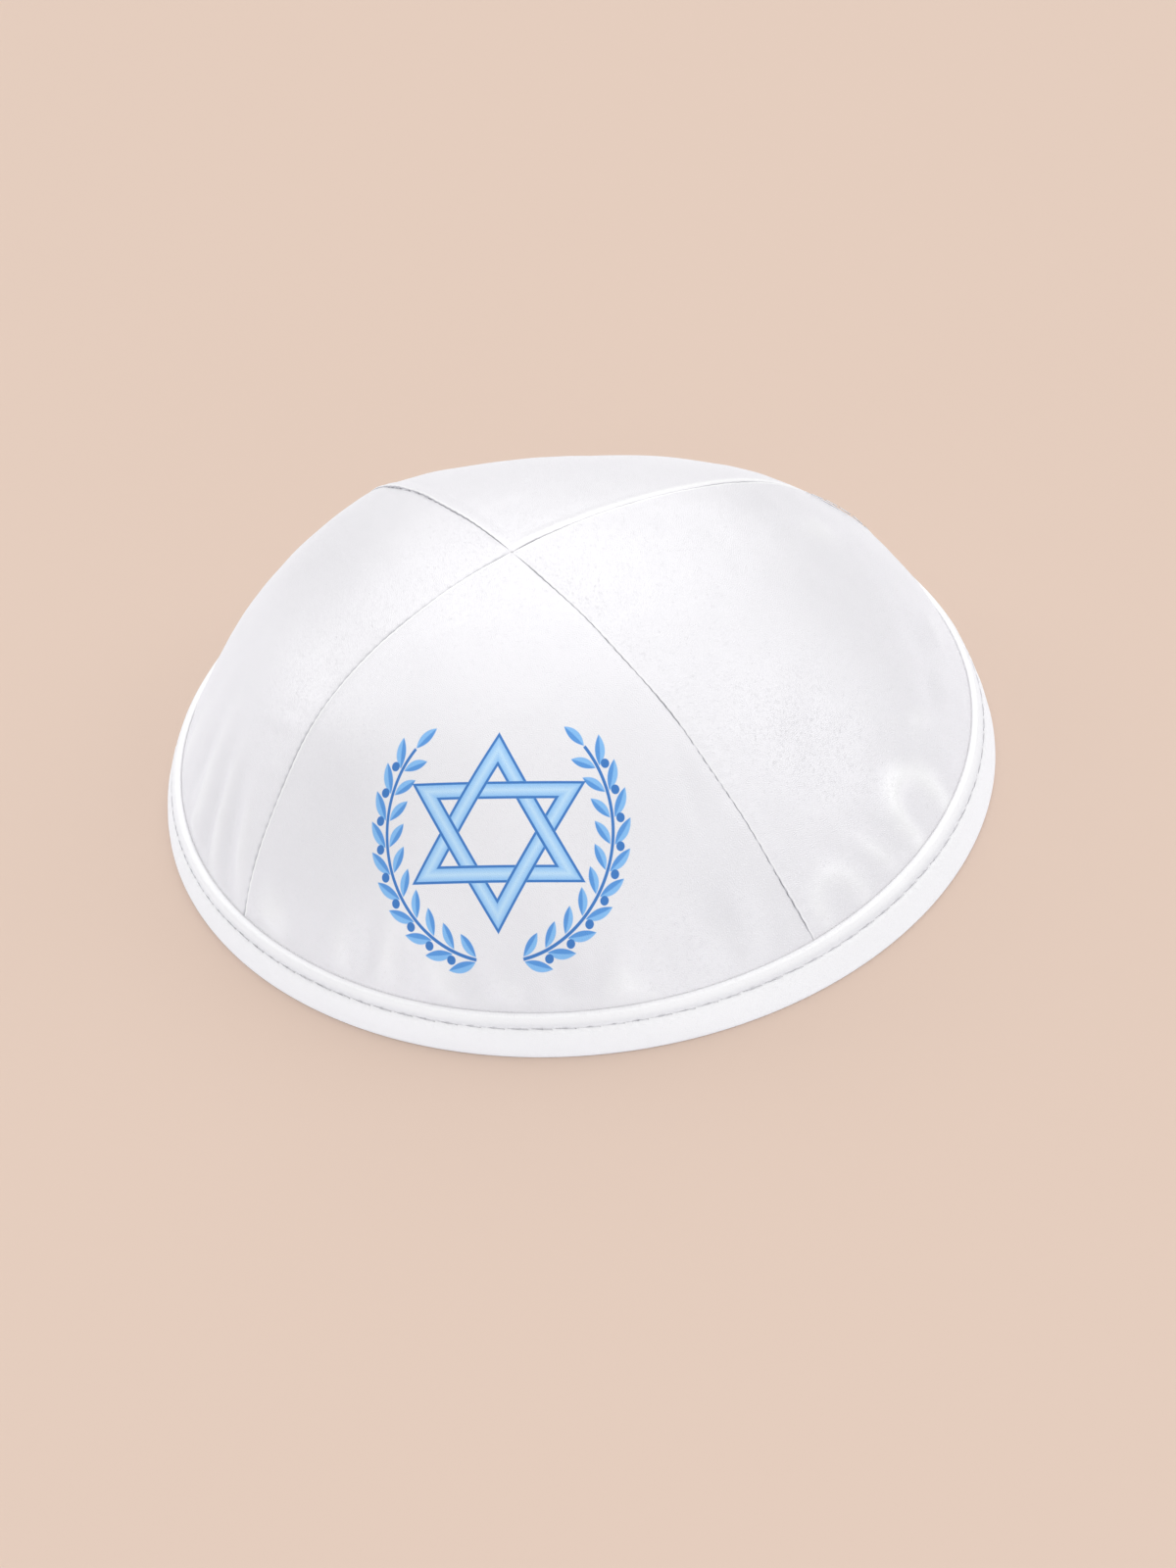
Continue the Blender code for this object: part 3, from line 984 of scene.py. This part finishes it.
@dataclass
class RimBinding:
    """The strip folded over the gores' lower edge, with the pull of its stitches."""

    crown: Crown
    finish: SatinFinish
    cloth: float = 1.0 * MM
    gap: float = 0.3 * MM
    height: float = 8.7 * MM
    inner_height: float = 7.8 * MM
    hem: float = 2.2 * MM
    wall: float = 1.2 * MM
    fold_height: float = 1.3 * MM
    fold_inset: float = 0.9 * MM
    ridge_height: float = 2.3 * MM
    ridge_rise: float = 0.24 * MM
    crest: float = 0.32 * MM
    dip: float = 0.07 * MM
    pull_reach: float = 0.45 * MM
    belly: float = 0.20 * MM
    stitches: int = 224
    steps_per_stitch: int = 6
    slant: float = 0.16 * MM
    hole: float = 0.26 * MM
    pit: float = 0.11 * MM
    scallop: float = 0.14 * MM
    bead_shade: float = 0.5

    @property
    def stitch_height(self) -> float:
        """Height of the row of stitches."""
        return self.height - self.ridge_height

    def section(self) -> list[tuple[float, float]]:
        """Return the strip's section: places out from the gores and up from the floor."""
        out = self.gap + self.cloth
        inner_wall = -self.wall - self.gap
        inner = inner_wall - self.cloth
        fold = (self.fold_inset, self.fold_height)
        points = self.arc((inner + self.fold_inset, self.fold_height), fold, 180, 270, 5)
        points += self.arc((out - self.fold_inset, self.fold_height), fold, 270, 360, 6)
        dip = self.stitch_height
        for share in np.linspace(0.0, 1.0, 17)[1:]:
            up = self.fold_height + (dip - self.fold_height) * (1 - (1 - share) ** 1.35)
            bulge = self.belly * math.sin(math.pi * min(share * 1.02, 1.0))
            pull = self.dip * float(hill(up, dip, self.pull_reach))
            points.append((out + bulge - pull, float(up)))
        crest = self.crest
        top = (out - self.dip - 0.65 * crest, self.height - crest)
        for share in np.linspace(0.0, 1.0, 10)[1:-1]:
            lift = self.ridge_rise * math.sin(math.pi * share ** 0.75)
            run = (top[0] + crest - out + self.dip) * share
            points.append((out - self.dip + run + lift, dip + (self.ridge_height - crest) * share))
        points += self.arc(top, (crest, crest), 8, 96, 7)
        points.append((0.5 * top[0], self.height + 0.02 * MM))
        points.append((-0.04 * MM, self.height - 0.02 * MM))
        channel = self.hem - self.gap
        points += [(self.gap, self.height - 1.2 * MM), (self.gap, channel)]
        points += [(inner_wall, channel), (inner_wall, self.inner_height - 0.3 * MM)]
        top = (inner_wall - self.cloth / 2, self.inner_height - 0.4 * MM)
        points += self.arc(top, (self.cloth / 2, 0.4 * MM), 0, 180, 4)
        return points

    @staticmethod
    def arc(centre: tuple[float, float], size: tuple[float, float], start: float, end: float,
            steps: int) -> list[tuple[float, float]]:
        """Return points along a round of the section, between two angles in degrees."""
        angles = np.radians(np.linspace(start, end, steps + 1))
        return [(centre[0] + size[0] * math.cos(a), centre[1] + size[1] * math.sin(a)) for a in angles]

    def from_stitch(self, turn: Array, up: Array) -> tuple[Array, Array, Array]:
        """Return how far along its stitch a place is, how far from a hole, and how far below."""
        phase = (turn / FULL_TURN * self.stitches) % 1.0
        from_hole = np.minimum(phase, 1.0 - phase) * FULL_TURN * self.crown.rim_radius / self.stitches
        return phase, from_hole, self.stitch_height + self.slant * (0.5 - phase) - up

    def stitch_pull(self, turn: Array, up: Array) -> Array:
        """Return how the stitches dent and swell the strip's outer face.

        Args:
            turn: angles round the cap.
            up: heights above the floor.

        Returns:
            How far the face stands out at each place.
        """
        phase, from_hole, below = self.from_stitch(turn, up)
        share = 0.8 + 0.3 * Ripple(7, 17 * MM).at(turn * self.crown.rim_radius, 0.0 * up)
        pits = hill(from_hole, 0.0, self.hole) * hill(below, 0.0, self.hole)
        swell = np.sin(math.pi * phase) ** 1.5
        scallops = swell * hill(below, 0.75 * MM, 0.5 * MM)
        nips = (1 - swell) * hill(below, 0.35 * MM, 0.9 * MM)
        bead = (1 - swell) * hill(below, -0.35 * MM, 0.45 * MM)
        return share * (self.scallop * (scallops - 0.6 * nips - 0.35 * bead) - self.pit * pits)

    def painted_shading(self, turn: Array, out: Array, up: Array) -> Array:
        """Return the strip's painted shading: a painted highlight along its top fold, painted shade
        below the bead and at the holes.
        """
        _, from_hole, below = self.from_stitch(turn, up)
        # Painted shade at each stitch hole, a painted highlight along the top fold, and painted shade
        # below the bead.
        hole = hill(from_hole, 0.0, 0.28 * MM) * hill(below, 0.0, self.hole)
        crest = hill(up, self.height - 0.10 * MM, 0.14 * MM)
        under = hill(up, self.stitch_height + 0.65 * MM, 0.6 * MM)
        outer = out > self.gap + 0.4 * self.cloth
        return (0.15 * crest - self.bead_shade * under) * outer - 0.2 * hole

    def unevenness(self, turn: Array, up: Array) -> Array:
        """Return the strip's soft, hand-sewn unevenness."""
        arc = turn * self.crown.rim_radius
        broad = 0.07 * MM * Ripple(21, 26 * MM).at(arc, up)
        close = 0.03 * MM * Ripple(22, 7 * MM).at(arc, 2 * up)
        lifted = smooth_step((up - 0.3 * MM) / (1.5 * MM))
        return (broad + close) * lifted

    def place(self, turn: Array, out: Array, up: Array) -> Array:
        """Return points that stand out from the gores by a distance at a height."""
        climb = self.crown.climb_at(up)
        level = self.crown.outward(turn, climb)[0]
        return self.crown.lean(turn, self.crown.radius(turn, climb) + out / level, up)

    def build(self) -> bpy.types.Object:
        """Return the binding: its section spun into a ring and laid against the gores."""
        bm = bmesh.new()
        section = np.array(self.section())
        round_steps = self.stitches * self.steps_per_stitch
        bmesh.ops.create_grid(bm, x_segments=round_steps, y_segments=len(section), size=1.0)
        square = np.array([vert.co[:2] for vert in bm.verts])
        turn = np.rint((square[:, 0] + 1) * round_steps / 2) * FULL_TURN / round_steps
        index = np.rint((square[:, 1] + 1) * len(section) / 2).astype(int) % len(section)
        out = section[index, 0]
        up = section[index, 1]
        face = smooth_step((out - self.gap) / (0.5 * self.cloth))
        out = out + face * (self.stitch_pull(turn, up) + self.unevenness(turn, up))
        around = angle_between(turn, -QUARTER) * self.crown.rim_radius
        flat = np.stack([around, up + np.where(out < 0, out, 0.0), np.zeros_like(up)], axis=-1)
        lay_points(bm, self.place(turn, out, up), flat, self.painted_shading(turn, out, up) * face)
        bmesh.ops.remove_doubles(bm, verts=bm.verts[:], dist=SAME_PLACE)
        bmesh.ops.recalc_face_normals(bm, faces=bm.faces[:])
        return finish_piece(bm, "rim_binding_satin", self.finish.build(),
                            ("rim_binding",))


@dataclass
class Stitches:
    """Rows of thread: the topstitching of the rim, and the stitches down in the seams."""

    crown: Crown
    binding: RimBinding
    finish: ThreadFinish
    thread: float = 0.13 * MM
    share: float = 0.86
    proud: float = 0.07 * MM
    sag: float = 0.04 * MM
    seam_depth: float = -0.24 * MM

    def thread_frame(self, middle: Array, run: Array, out: Array) -> Matrix:
        """Return the frame of one stitch, a slim grain of thread that dives in at both ends.

        Args:
            middle: the stitch's middle.
            run: from its start to its end.
            out: away from the cloth.
        """
        run = Vector(run)
        length = run.length * self.share
        run.normalize()
        side = Vector(out).cross(run).normalized()
        turned = Matrix((side, run.cross(side), run)).transposed().to_4x4()
        size = Matrix.Diagonal((self.thread, self.thread, length / 2, 1.0))
        return Matrix.Translation(middle) @ turned @ size

    def sew(self, name: str, frames: list[Matrix]) -> bpy.types.Object:
        """Make a piece of many stitches: one grain, copied and laid in each frame.

        Args:
            name: the piece's name.
            frames: the place of each stitch.

        Returns:
            The new object.
        """
        bm = bmesh.new()
        bmesh.ops.create_uvsphere(bm, u_segments=8, v_segments=6, radius=1.0)
        each = len(bm.verts)
        while len(bm.verts) < each * len(frames):
            bmesh.ops.duplicate(bm, geom=bm.verts[:] + bm.edges[:] + bm.faces[:])
        bmesh.ops.delete(bm, geom=bm.verts[each * len(frames):], context="VERTS")
        for index, vert in enumerate(bm.verts):
            vert.co = frames[index // each] @ vert.co
        bmesh.ops.recalc_face_normals(bm, faces=bm.faces[:])
        return finish_piece(bm, name, self.finish.build())

    def rim(self) -> bpy.types.Object:
        """Return the topstitching below the rim's bead."""
        binding = self.binding
        pitch = FULL_TURN / binding.stitches
        middles = (np.arange(binding.stitches) + 0.5) * pitch
        out = binding.gap + binding.cloth - binding.dip
        height = binding.stitch_height
        ends = []
        for side in (-0.5, 0.5):
            turn = middles + side * pitch
            ends.append(binding.place(turn, out, np.full_like(turn, height - side * binding.slant)))
        middle = binding.place(middles, out + self.proud, np.full_like(middles, height - self.sag))
        away = binding.place(middles, out + MM, np.full_like(middles, height)) - middle
        frames = [self.thread_frame(*each) for each in zip(middle, ends[1] - ends[0], away)]
        return self.sew("rim_stitches", frames)

    def seams(self) -> bpy.types.Object:
        """Return the stitches that show at the bottom of the four seams."""
        crown = self.crown
        climbs = np.linspace(0.0, QUARTER, 400)
        lengths = crown.along(climbs)
        low = float(crown.along(crown.climb_at(self.binding.height + 0.5 * MM)))
        high = float(lengths[-1]) - 2.5 * MM
        count = int((high - low) / SEAM_PITCH)
        at = np.interp(low + (np.arange(count) + 0.5) * SEAM_PITCH, lengths, climbs)
        half = SEAM_PITCH * 0.5 / (crown.gore_radius * 0.8)
        frames = []
        for index in range(4):
            turn = QUARTER / 2 + index * QUARTER
            middle = crown.place(turn, at, self.seam_depth)
            start = crown.place(turn, at - half, self.seam_depth)
            end = crown.place(turn, at + half, self.seam_depth)
            away = crown.place(turn, at, MM) - middle
            frames += [self.thread_frame(*each) for each in zip(middle, end - start, away)]
        return self.sew("seam_stitches", frames)


@dataclass(frozen=True)
class Light:
    """A soft, wide light that falls evenly on the whole floor.

    Its azimuth, from the front towards +X, its elevation and how wide it looks from the cap are
    in degrees.
    """

    name: str
    azimuth: float
    elevation: float
    wide: float
    strength: float

    def build(self) -> None:
        """Add the light."""
        data = bpy.data.lights.new(self.name, "SUN")
        data.angle = math.radians(self.wide)
        data.energy = self.strength
        light = add_object(self.name, data)
        light.rotation_euler = heading(self.azimuth, self.elevation).to_track_quat("Z", "Y").to_euler()


def heading(azimuth: float, elevation: float) -> Vector:
    """Return a direction, from degrees round from the front towards +X and degrees up."""
    turn, tilt = math.radians(azimuth), math.radians(elevation)
    return Vector((math.sin(turn) * math.cos(tilt), -math.cos(turn) * math.cos(tilt), math.sin(tilt)))


@dataclass(frozen=True)
class Studio:
    """The camera, the floor and the soft lights."""

    azimuth: float = 13.2
    elevation: float = 40.6
    roll: float = -6.6
    distance: float = 1.133
    aim_right: float = 1.2 * MM
    aim_up: float = -3.6 * MM
    lens: float = 126.9
    sensor: float = 36.0
    floor_size: float = 6.0
    sky: float = 0.86
    dimmed: float = 0.32
    lights: tuple[Light, ...] = (
        Light("overhead", 172.0, 72.0, 60.0, 0.17),
        Light("behind", 190.0, 41.0, 56.0, 0.45),
        Light("high front", 20.0, 42.0, 60.0, 0.14),
        Light("front left", -38.0, 8.0, 26.0, 0.153),
        Light("front right", 40.0, 10.0, 30.0, 0.17),
        Light("key", 112.0, 34.0, 38.0, 0.26),
        Light("side", -112.0, 24.0, 32.0, 0.22),
    )

    def axes(self) -> tuple[Vector, Vector, Vector]:
        """Return the camera's right, up and backward directions before its roll."""
        turn = math.radians(self.azimuth)
        right = Vector((math.cos(turn), math.sin(turn), 0.0))
        back = heading(self.azimuth, self.elevation)
        return right, back.cross(right), back

    def add_camera(self) -> None:
        """Add the camera at the photograph's angle."""
        right, up, back = self.axes()
        roll = math.radians(self.roll)
        aim = right * self.aim_right + Vector((0.0, 0.0, self.aim_up))
        turned_right = right * math.cos(roll) + up * math.sin(roll)
        turned_up = up * math.cos(roll) - right * math.sin(roll)
        data = bpy.data.cameras.new("camera")
        data.sensor_fit = "VERTICAL"
        data.sensor_height = self.sensor
        data.lens = self.lens
        data.clip_start = 0.05
        camera = add_object("camera", data)
        camera.matrix_world = (Matrix.Translation(aim + back * self.distance)
                               @ Matrix((turned_right, turned_up, back)).transposed().to_4x4())
        bpy.context.scene.camera = camera

    def add_floor(self) -> None:
        """Add the plain pale floor."""
        bm = bmesh.new()
        bmesh.ops.create_grid(bm, x_segments=1, y_segments=1, size=self.floor_size / 2)
        floor = add_mesh(bm, "floor", FloorFinish().build())

    def light_sky(self) -> None:
        """Light the room evenly from above, and less from its walls."""
        world = bpy.data.worlds.new("soft room")
        world.use_nodes = True
        graph = Graph(world.node_tree)
        background = world.node_tree.nodes["Background"]
        background.inputs["Color"].default_value = (1.0, 1.0, 1.0, 1.0)
        height = graph.part(graph.object_place())[2]
        share = (-height).above(-0.42, soft=0.5)
        graph.feed(background.inputs["Strength"], share * (-self.sky * self.dimmed) + self.sky)
        bpy.context.scene.world = world

    def build(self) -> None:
        """Set up everything round the cap."""
        self.add_camera()
        self.add_floor()
        self.light_sky()
        for light in self.lights:
            light.build()
        bpy.context.scene.view_settings.view_transform = "Standard"
        LOG.info("studio: camera %.1f mm at %.3f m", self.lens, self.distance)


def print_frame(crown: Crown, turn: float, climb: float, tilt: float) -> Matrix:
    """Return where the print lies: its middle, with x to its right and z out of the cloth.

    Args:
        crown: the crown that it lies on.
        turn: the turn of its middle, in degrees.
        climb: the climb of its middle, in degrees.
        tilt: how far it is turned on the cloth, in degrees.
    """
    turn, climb = math.radians(turn), math.radians(climb)
    step = 0.05
    middle = Vector(crown.place(turn, climb))
    up = Vector(crown.place(turn, climb + step)) - Vector(crown.place(turn, climb - step))
    right = Vector(crown.place(turn + step, climb)) - Vector(crown.place(turn - step, climb))
    out = right.cross(up).normalized()
    up = (up - up.dot(out) * out).normalized()
    up = Matrix.Rotation(math.radians(tilt), 3, out) @ up
    turned = Matrix((up.cross(out), up, out)).transposed().to_4x4()
    return Matrix.Translation(middle) @ turned


FRONT_DENTS = (
    Dent(291, 38, 0.16, 0.22, 0, 0.5),
    Dent(240, 35, 0.16, 0.24, -15, 0.6),
    Dent(231, 13, 0.050, 0.10, -20, -0.45),
    Dent(245, 14, 0.035, 0.14, -8, -0.28),
    Dent(249, 13, 0.040, 0.14, 4, 0.35),
    Dent(252, 14, 0.035, 0.18, 14, -0.30),
    Dent(262, 13, 0.040, 0.13, -14, -0.26),
    Dent(267, 12, 0.040, 0.12, -8, 0.35),
    Dent(271, 12, 0.030, 0.05, 0, -0.25),
    Dent(279, 14, 0.055, 0.14, -25, 0.40),
    Dent(287, 12, 0.060, 0.07, 0, -0.40, 0.8),
    Dent(296, 16, 0.040, 0.14, 15, 0.40),
    Dent(306, 19, 0.060, 0.14, -10, 0.55),
    Dent(309, 38, 0.035, 0.20, 12, 0.35),
)
BACK_DENTS = (
    Dent(42, 30, 0.14, 0.22, 0, 0.6),
)
RIGHT_DENTS = (
    *BACK_DENTS,
    Dent(343.5, 13.0, 0.078, 0.135, -6, -0.60, arch=0.36),
    Dent(350, 15, 0.025, 0.07, -20, -0.22),
    Dent(357, 21, 0.050, 0.04, 15, -0.25, 0.6),
    Dent(5, 20, 0.060, 0.06, -15, 0.40),
    Dent(14, 24, 0.070, 0.09, -20, 0.50),
    Dent(20, 19, 0.050, 0.05, 10, -0.25, 0.5),
    Dent(37, 51, 0.060, 0.09, 0, 0.40),
    Dent(30, 44, 0.050, 0.08, 30, -0.35),
    Dent(322, 11.0, 0.062, 0.11, 0, -0.34, arch=0.42),
    Dent(332, 13, 0.025, 0.09, -20, -0.40),
    Dent(335, 32, 0.12, 0.20, 35, 0.4),
)
LEFT_DENTS = (
    Dent(198, 19, 0.035, 0.24, -8, 0.45),
    Dent(204, 18, 0.030, 0.26, -12, -0.40),
    Dent(209, 18, 0.030, 0.26, -14, 0.45),
    Dent(213, 17, 0.028, 0.24, -14, -0.40),
    Dent(217, 18, 0.030, 0.24, -16, 0.40),
    Dent(221, 18, 0.026, 0.20, -16, -0.30),
    Dent(190, 16, 0.040, 0.18, -6, -0.30),
    Dent(165, 56, 0.20, 0.20, 0, 0.7),
)


def build_crown(crown: Crown) -> None:
    """Build the four gores."""
    # Each seam's lip sets its painted highlight and its groove the width of its painted shade.
    raised = SeamEdge(EdgeKind.RAISED, band=1.0 * MM, rise=0.26 * MM, lip_highlight=0.8)
    puckered = SeamEdge(EdgeKind.RAISED, lip_highlight=0.4, pucker=0.07 * MM, pucker_to=70 * MM)
    thick = SeamEdge(EdgeKind.RAISED, band=1.2 * MM, rise=0.22 * MM, depth=0.06 * MM, lip_highlight=0.9,
                     lip_highlight_away=0.9 * MM, lip_highlight_wide=0.7 * MM, groove_shade=0.1 * MM, pucker=0.05 * MM)
    creased = SeamEdge(EdgeKind.CREASED, lip_highlight=1.0, groove_shade=0.04 * MM)
    low = SeamEdge(EdgeKind.LOW)
    stitched = SeamEdge(EdgeKind.LOW, hollow=0.12 * MM, groove_shade=0.46 * MM)
    lit = "gore_satin_lit"
    cool = "gore_satin_cool"
    where = print_frame(crown, 272.0, 40.4, -4.2)
    gores = (
        Gore("gore_front", crown, 270, creased, low, lit,
             SatinFinish("satin_front", print_frame=where), FRONT_DENTS, seed=3),
        Gore("gore_right", crown, 0, puckered, creased, lit,
             SatinFinish("satin_right"), RIGHT_DENTS, seed=4),
        Gore("gore_back", crown, 90, thick, raised, cool,
             SatinFinish("satin_back"), BACK_DENTS, seed=5),
        Gore("gore_left", crown, 180, low, stitched, cool,
             SatinFinish("satin_left"), LEFT_DENTS, seed=6),
    )
    for gore in gores:
        gore.build()


def main() -> None:
    """Dress the cap and set up its studio."""
    logging.basicConfig(level=logging.INFO, format="%(name)s: %(message)s")
    crown = Crown()
    Studio().build()
    build_weave_group()
    build_mottle_group()
    PrintDesign().build_group()
    build_crown(crown)
    # The strip's painted shade, below its bead and at its holes, blends towards a lighter grey than the
    # gores'.
    strip = SatinFinish("satin_binding", (0.98, 0.975, 0.99, 1.0), (0.92, 0.915, 0.93, 1.0),
                        seam=(0.74, 0.74, 0.77, 1.0), roughness=0.48, float_height=0.7)
    binding = RimBinding(crown, strip)
    binding.build()
    stitches = Stitches(crown, binding, ThreadFinish())
    stitches.rim()
    stitches.seams()


if __name__ == "__main__":
    main()
